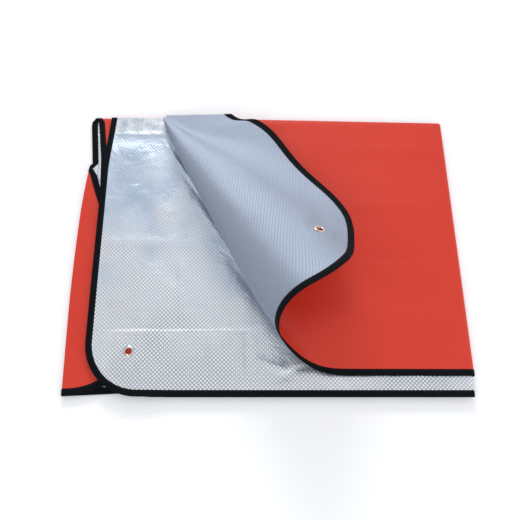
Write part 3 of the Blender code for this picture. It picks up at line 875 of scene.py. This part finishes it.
def eyelet_metal():
    """Nickel plate over brass, which shows where the plating is thin."""
    mat, n = new_material("eyelet_plate")
    coordinates = n.new("ShaderNodeTexCoord").outputs["Object"]
    patches = n.ramp(n.noise(coordinates, scale=160.0, detail=4.0, roughness=0.6), 0.48, 0.70)
    n.feed("Base Color", n.mix(patches, COLOURS["nickel"], COLOURS["brass"]))
    n.shader.inputs["Metallic"].default_value = 1.0
    scuffs = n.noise(coordinates, scale=900.0, detail=3.0, roughness=0.6)
    n.feed("Roughness", n.math("MULTIPLY_ADD", scuffs, 0.20, 0.18))
    n.feed("Normal", n.bump(scuffs, distance=0.0001, strength=0.25))
    return mat


# ---- the pieces ----

# Painted sparkle, at most 1: how much painted reflection brightens the silver film's colour.  On leaf A
# and on the hidden leaves, and on leaf B its base, what the front edge's painted glitter and the painted
# reflection clouds add, and the least of it.
PAINTED_SPARKLE = dict(on_a=0.02, hidden=0.6, base=0.12, front=0.72, cloud=0.45, least=0.10)
PAINTED_SPARKLE_FRONT = (0.20, 0.30)  # where the painted sparkle rises towards leaf B's front edge, as painted glitter: from, over
PAINTED_SPARKLE_CLOUDS = (dict(scale=6, cut=8.0, share=1.0), dict(scale=17, cut=2.0, share=0.7))
FLAT_STEP = 0.003          # step inwards that finds the direction out of the sheet's edge
TAPE_PUFF = 0.22           # how much the tape swells between its edge and its seam
HEM_STEPS = 6
HEM_DEPTH = 1.4 * TAPE     # how far its rounded edge stands out from the sheet
THREAD_WIDE = 0.00030      # half a stitch's width in its middle
THREAD_END = 0.00012       # and at its ends, which go down into the tape
THREAD_SINK = 0.00025
THREAD_HIGH = 0.8
CLOTH_SHARP = math.radians(50)
METAL_SHARP = math.radians(40)
EYELET_SIDES = 48
EYELET_PLAY = 0.5 * FILM + 0.0001  # from the film's middle to the metal on either face
WEIGHT_SOFT = 1e-4         # keeps the weight of a point at no distance finite
# Radius and height along the ring's outline, from the washer behind to the flange on the silver face.
EYELET_PROFILE = (
    (0.00625, -0.0016), (0.0068, -0.0019), (0.0078, -0.0017), (0.0098, -0.0013), (0.0108, -0.0010),
    (0.0110, -EYELET_PLAY), (0.0071, -EYELET_PLAY), (0.0071, EYELET_PLAY), (0.0110, EYELET_PLAY),
    (0.0109, 0.0009), (0.0103, 0.0014), (0.0092, 0.0018), (0.0080, 0.0019),
    (0.0070, 0.0018), (0.0064, 0.0014), (0.00625, 0.0008),
)


class Folded:
    """The flat pattern with the folded and creased place, and the normal, of each of its points."""

    def __init__(self):
        verts, faces = flat_pattern()
        used = sorted({i for face in faces for i in face})
        new = {old: i for i, old in enumerate(used)}
        self.flat = [verts[i] for i in used]
        self.faces = [tuple(new[i] for i in face) for face in faces]
        self.normals = [fold_normal(point.x, point.y) for point in self.flat]
        self.places = []
        for point, normal in zip(self.flat, self.normals):
            place = fold(point.x, point.y)
            leaf = leaf_of(point.x, point.y)
            up = 1 if normal.z > 0 else -1
            calm = beyond(abs(normal.z), STEEP) * beyond(min(abs(point.x), abs(point.y)), FOLD_CLEARANCE)
            if calm > 0:
                place = place + up * calm * crease_height(leaf, point.x, point.y, place) * normal
            self.places.append(place)


def add_object(name, data):
    obj = bpy.data.objects.new(name, data)
    bpy.context.collection.objects.link(obj)
    return obj


def write_object(name, places, faces, flat, mats, mat_index=None, values=None):
    mesh = bpy.data.meshes.new(name)
    mesh.from_pydata(places, [], faces)
    layer = mesh.uv_layers.new(name="flat")
    for loop in mesh.loops:
        layer.data[loop.index].uv = flat[loop.vertex_index]
    if values is not None:
        attribute = mesh.attributes.new("painted_sparkle", "FLOAT", "POINT")
        attribute.data.foreach_set("value", values)
    for mat in mats:
        mesh.materials.append(mat)
    if mat_index is not None:
        mesh.polygons.foreach_set("material_index", mat_index)
    mesh.shade_smooth()
    mesh.set_sharp_from_angle(angle=CLOTH_SHARP)
    mesh.update()
    return add_object(name, mesh)


def rim_edges(faces):
    """Edges that only one of the faces has, in that face's direction."""
    directed = {(a, b) for face in faces for a, b in zip(face, face[1:] + face[:1])}
    return [(a, b) for a, b in sorted(directed) if (b, a) not in directed]


def painted_sparkle_at(p, q):
    """Painted sparkle of the silver film at a flat point: how much painted reflection brightens its colour.
    """
    leaf = leaf_of(p, q)
    if leaf != "B":
        return PAINTED_SPARKLE["on_a"] if leaf == "A" else PAINTED_SPARKLE["hidden"]
    cloud = 0.0
    for layer in PAINTED_SPARKLE_CLOUDS:
        cloud += layer["share"] * noise.noise(Vector((p * layer["scale"], q * layer["scale"], layer["cut"])))
    painted_sparkle = PAINTED_SPARKLE["base"] + PAINTED_SPARKLE["front"] * beyond(-q, PAINTED_SPARKLE_FRONT) + PAINTED_SPARKLE["cloud"] * cloud
    return min(max(painted_sparkle, PAINTED_SPARKLE["least"]), 1.0)


def build_sheet(folded):
    """The film, with silver above, red below and red over its cut edge."""
    count = len(folded.flat)
    top = [c + 0.5 * FILM * n for c, n in zip(folded.places, folded.normals)]
    base = [c - 0.5 * FILM * n for c, n in zip(folded.places, folded.normals)]
    faces = list(folded.faces)
    index = [0] * len(faces)
    faces += [tuple(i + count for i in reversed(face)) for face in folded.faces]
    index += [1] * len(folded.faces)
    for a, b in rim_edges(folded.faces):
        faces.append((b, a, a + count, b + count))
        index.append(1)
    flat = folded.flat * 2
    values = [painted_sparkle_at(point.x, point.y) for point in folded.flat] * 2
    return write_object("foil_sheet", top + base, faces, flat, [silver_film(), red_film()], index, values)


def outward_step(folded, i):
    """Direction out of the sheet's edge at one of its points."""
    flat = folded.flat[i]
    length = SHORT_LEAF if flat.y > 0 else LONG_LEAF
    centre = Vector((math.copysign(HALF_WIDTH - CORNER_RADIUS, flat.x),
                     math.copysign(length - CORNER_RADIUS, flat.y)))
    across, along = abs(flat.x) > abs(centre.x), abs(flat.y) > abs(centre.y)
    inward = Vector((centre.x - flat.x if across else 0, centre.y - flat.y if along else 0))
    inner = flat + FLAT_STEP * inward.normalized()
    step = fold(flat.x, flat.y) - fold(inner.x, inner.y)
    normal = folded.normals[i]
    return (step - step.dot(normal) * normal).normalized()


def build_binding(folded):
    """The tape's outer skin, rounded over the edge of the sheet and turned in to it on both faces."""
    faces = []
    for face in folded.faces:
        middle = middle_of(folded.flat, face)
        if from_outline(middle.x, middle.y) < TAPE_WIDTH - TINY:
            faces.append(face)
    rim = rim_edges(faces)
    hem = [e for e in rim if all(from_outline(*folded.flat[i]) < 10 * TINY for i in e)]
    ends = [e for e in rim if e not in set(hem)]
    clear = 0.5 * FILM + TAPE_CLEAR
    outer = clear + TAPE
    places, flat, index, out_faces = [], [], {}, []
    steps = {i: outward_step(folded, i) for i in {i for e in hem for i in e}}

    def point(i, height, out=0.0):
        key = (i, round(height, 6), round(out, 6))
        if key not in index:
            index[key] = len(places)
            puff = 1.0
            inset = from_outline(*folded.flat[i])
            if abs(height) > clear and out == 0.0:
                puff = 1.0 + TAPE_PUFF * math.sin(math.pi * min(inset / TAPE_WIDTH, 1.0))
            step = steps[i] * out if out else Vector()
            places.append(folded.places[i] + puff * height * folded.normals[i] + step)
            flat.append(folded.flat[i] + (steps[i].xy * out if out else Vector((0, 0))))
        return index[key]

    for face in faces:
        out_faces.append(tuple(point(i, outer) for i in face))
        out_faces.append(tuple(point(i, clear) for i in reversed(face)))
        out_faces.append(tuple(point(i, -clear) for i in face))
        out_faces.append(tuple(point(i, -outer) for i in reversed(face)))
    for a, b in ends:
        out_faces.append((point(b, outer), point(a, outer), point(a, clear), point(b, clear)))
        out_faces.append((point(b, -clear), point(a, -clear), point(a, -outer), point(b, -outer)))
    over = [(outer, 0.0)]
    for k in range(1, HEM_STEPS):
        turn = math.radians(180 * k / HEM_STEPS)
        over.append((outer * math.cos(turn), HEM_DEPTH * math.sin(turn)))
    over.append((-outer, 0.0))
    for a, b in hem:
        for (h0, o0), (h1, o1) in zip(over, over[1:]):
            out_faces.append((point(b, h0, o0), point(a, h0, o0), point(a, h1, o1), point(b, h1, o1)))
        out_faces.append((point(b, -clear), point(a, -clear), point(a, clear), point(b, clear)))
    return write_object("edge_tape", places, out_faces, flat, [woven_tape()])


def build_stitches(folded):
    """A row of stitches near the tape's inner edge, on both faces of the sheet."""
    tree = tree_of(folded.flat)
    places, faces, flat = [], [], []
    lift = 0.5 * FILM + TAPE_CLEAR + STITCH_LIFT * TAPE
    left_over = 0.0
    for start, end in chain(border(STITCH_INSET)):
        length = (end - start).length
        along = left_over
        while along + STITCH_LENGTH < length:
            ends = [start.lerp(end, (along + part * STITCH_LENGTH) / length) for part in STITCH_SPOTS]
            spots = [surface_point(folded, tree, spot) for spot in ends]
            for side in (1, -1):
                add_stitch(places, faces, flat, spots, ends, side * lift, side)
            along += STITCH_GAP
        left_over = along - length
    return write_object("tape_stitches", places, faces, flat, [thread_look()])


def surface_point(folded, tree, spot):
    """Place and normal of the creased sheet near a flat point."""
    near = tree.find_n((spot.x, spot.y, 0), 3)
    weights = [1 / (distance + WEIGHT_SOFT) for _, _, distance in near]
    total = sum(weights)
    shift = Vector()
    for (_, i, _), weight in zip(near, weights):
        flat = folded.flat[i]
        shift += weight / total * (folded.places[i] - fold(flat.x, flat.y))
    return fold(spot.x, spot.y) + shift, fold_normal(spot.x, spot.y)


def add_stitch(places, faces, flat, spots, ends, lift, side):
    """One stitch on one face of the tape, as a tube through its four spots."""
    base = len(places)
    last = len(spots) - 1
    run = (spots[-1][0] - spots[0][0]).normalized()
    for k, ((place, normal), spot) in enumerate(zip(spots, ends)):
        at_end = k in (0, last)
        wide = THREAD_END if at_end else THREAD_WIDE
        sink = -THREAD_SINK if at_end else 0.0
        across = run.cross(normal).normalized()
        for turn in range(STITCH_SIDES):
            angle = 2 * math.pi * turn / STITCH_SIDES
            out = lift + side * (sink + THREAD_HIGH * wide * math.sin(angle))
            places.append(place + out * normal + side * wide * math.cos(angle) * across)
            flat.append(spot)
    for k in range(last):
        for turn in range(STITCH_SIDES):
            a = base + STITCH_SIDES * k + turn
            b = base + STITCH_SIDES * k + (turn + 1) % STITCH_SIDES
            faces.append((a, b, b + STITCH_SIDES, a + STITCH_SIDES))
    faces.append(tuple(base + turn for turn in reversed(range(STITCH_SIDES))))
    faces.append(tuple(base + STITCH_SIDES * last + turn for turn in range(STITCH_SIDES)))


def build_eyelet(name, centre):
    """A rolled ring: domed flange on the silver face, flatter washer behind, and a round barrel."""
    middle, normal = fold(centre.x, centre.y), fold_normal(centre.x, centre.y)
    bm = bmesh.new()
    rings = []
    for radius, height in EYELET_PROFILE:
        spots = ring(Vector((0, 0)), radius, EYELET_SIDES)
        rings.append([bm.verts.new((spot.x, spot.y, height)) for spot in spots])
    for lower, upper in chain(rings, closed=True):
        for (a, b), (c, d) in zip(chain(lower, closed=True), chain(upper, closed=True)):
            bm.faces.new((a, b, d, c))
    bmesh.ops.recalc_face_normals(bm, faces=bm.faces)
    bm.transform(Matrix.Translation(middle) @ normal.to_track_quat("Z", "Y").to_matrix().to_4x4())
    mesh = bpy.data.meshes.new(name)
    bm.to_mesh(mesh)
    bm.free()
    mesh.materials.append(EYELET_LOOK)
    mesh.shade_smooth()
    mesh.set_sharp_from_angle(angle=METAL_SHARP)
    return add_object("ring_" + name, mesh)


# ---- build ----

EYELET_LOOK = eyelet_metal()
folded = Folded()
sheet = build_sheet(folded)
binding = build_binding(folded)
stitches = build_stitches(folded)
rings = {name: build_eyelet(name, centre) for name, centre in eyelet_centres().items()}
for piece, node, look in ((sheet, "sheet", "laminate"), (binding, "binding", "tape")):
    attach(piece, "root")
    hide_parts(node)
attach(stitches, "root")
for name, piece in rings.items():
    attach(piece, "root")
    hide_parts(name)


# ---- floor, light and camera ----

FLOOR = dict(half=4, z=-0.002, grey=0.98)
SKY_COLOUR = (0.94, 0.96, 1.0, 1)
SKY_LEVEL = dict(least=0.56, most=1.05)
SKY_TO_SIDE = 0.10         # how much brighter the right side is, and the left side darker
CAMERA = dict(lens=44.1, sensor=36, place=(-0.017, -0.475, 1.225), tilt=math.radians(20))
# Rectangular lamps, all facing the origin.
LAMPS = (
    dict(name="key", place=(-0.3, 4.1, 2.0), size=(1.6, 0.8), watts=78),
    dict(name="front", place=(-0.7, -2.1, 1.9), size=(1.4, 1.4), watts=12),
    dict(name="fill", place=(1.9, -1.2, 1.6), size=(1.6, 1.6), watts=9),
)


def build_floor():
    mesh = bpy.data.meshes.new("floor")
    half, z = FLOOR["half"], FLOOR["z"]
    corners = [(-half, -half, z), (half, -half, z), (half, half, z), (-half, half, z)]
    mesh.from_pydata(corners, [], [(0, 1, 2, 3)])
    mat, n = new_material("floor_paper")
    n.shader.inputs["Base Color"].default_value = (FLOOR["grey"], FLOOR["grey"], FLOOR["grey"], 1)
    n.shader.inputs["Roughness"].default_value = 0.9
    n.shader.inputs["Specular IOR Level"].default_value = 0.1
    mesh.materials.append(mat)
    obj = add_object("floor", mesh)


def add_lamp(name, place, size, watts):
    lamp = bpy.data.lights.new(name, "AREA")
    lamp.shape = "RECTANGLE"
    lamp.size, lamp.size_y = size
    lamp.energy = watts
    obj = add_object(name, lamp)
    obj.location = place
    obj.rotation_euler = (-Vector(place)).to_track_quat("-Z", "Y").to_euler()


def set_world():
    """Even pale surroundings, with soft patches that the foil's creases pick up, and a darker left side."""
    world = bpy.data.worlds.new("studio")
    bpy.context.scene.world = world
    n = Nodes(world, "Background")
    n.shader.inputs["Color"].default_value = SKY_COLOUR
    direction = n.new("ShaderNodeTexCoord").outputs["Generated"]
    level = n.ramp(n.noise(direction, scale=4.0, detail=1.0), 0.36, 0.62, **SKY_LEVEL)
    side = n.math("MULTIPLY_ADD", n.split(direction)[0], SKY_TO_SIDE, 1.0)
    n.feed("Strength", n.math("MULTIPLY", level, side))


def set_camera():
    camera = bpy.data.cameras.new("camera")
    camera.lens = CAMERA["lens"]
    camera.sensor_width = CAMERA["sensor"]
    obj = add_object("camera", camera)
    obj.location = CAMERA["place"]
    obj.rotation_euler = (CAMERA["tilt"], 0, 0)
    bpy.context.scene.camera = obj


build_floor()
set_world()
for lamp in LAMPS:
    add_lamp(**lamp)
set_camera()
bpy.context.scene.view_settings.view_transform = "Standard"
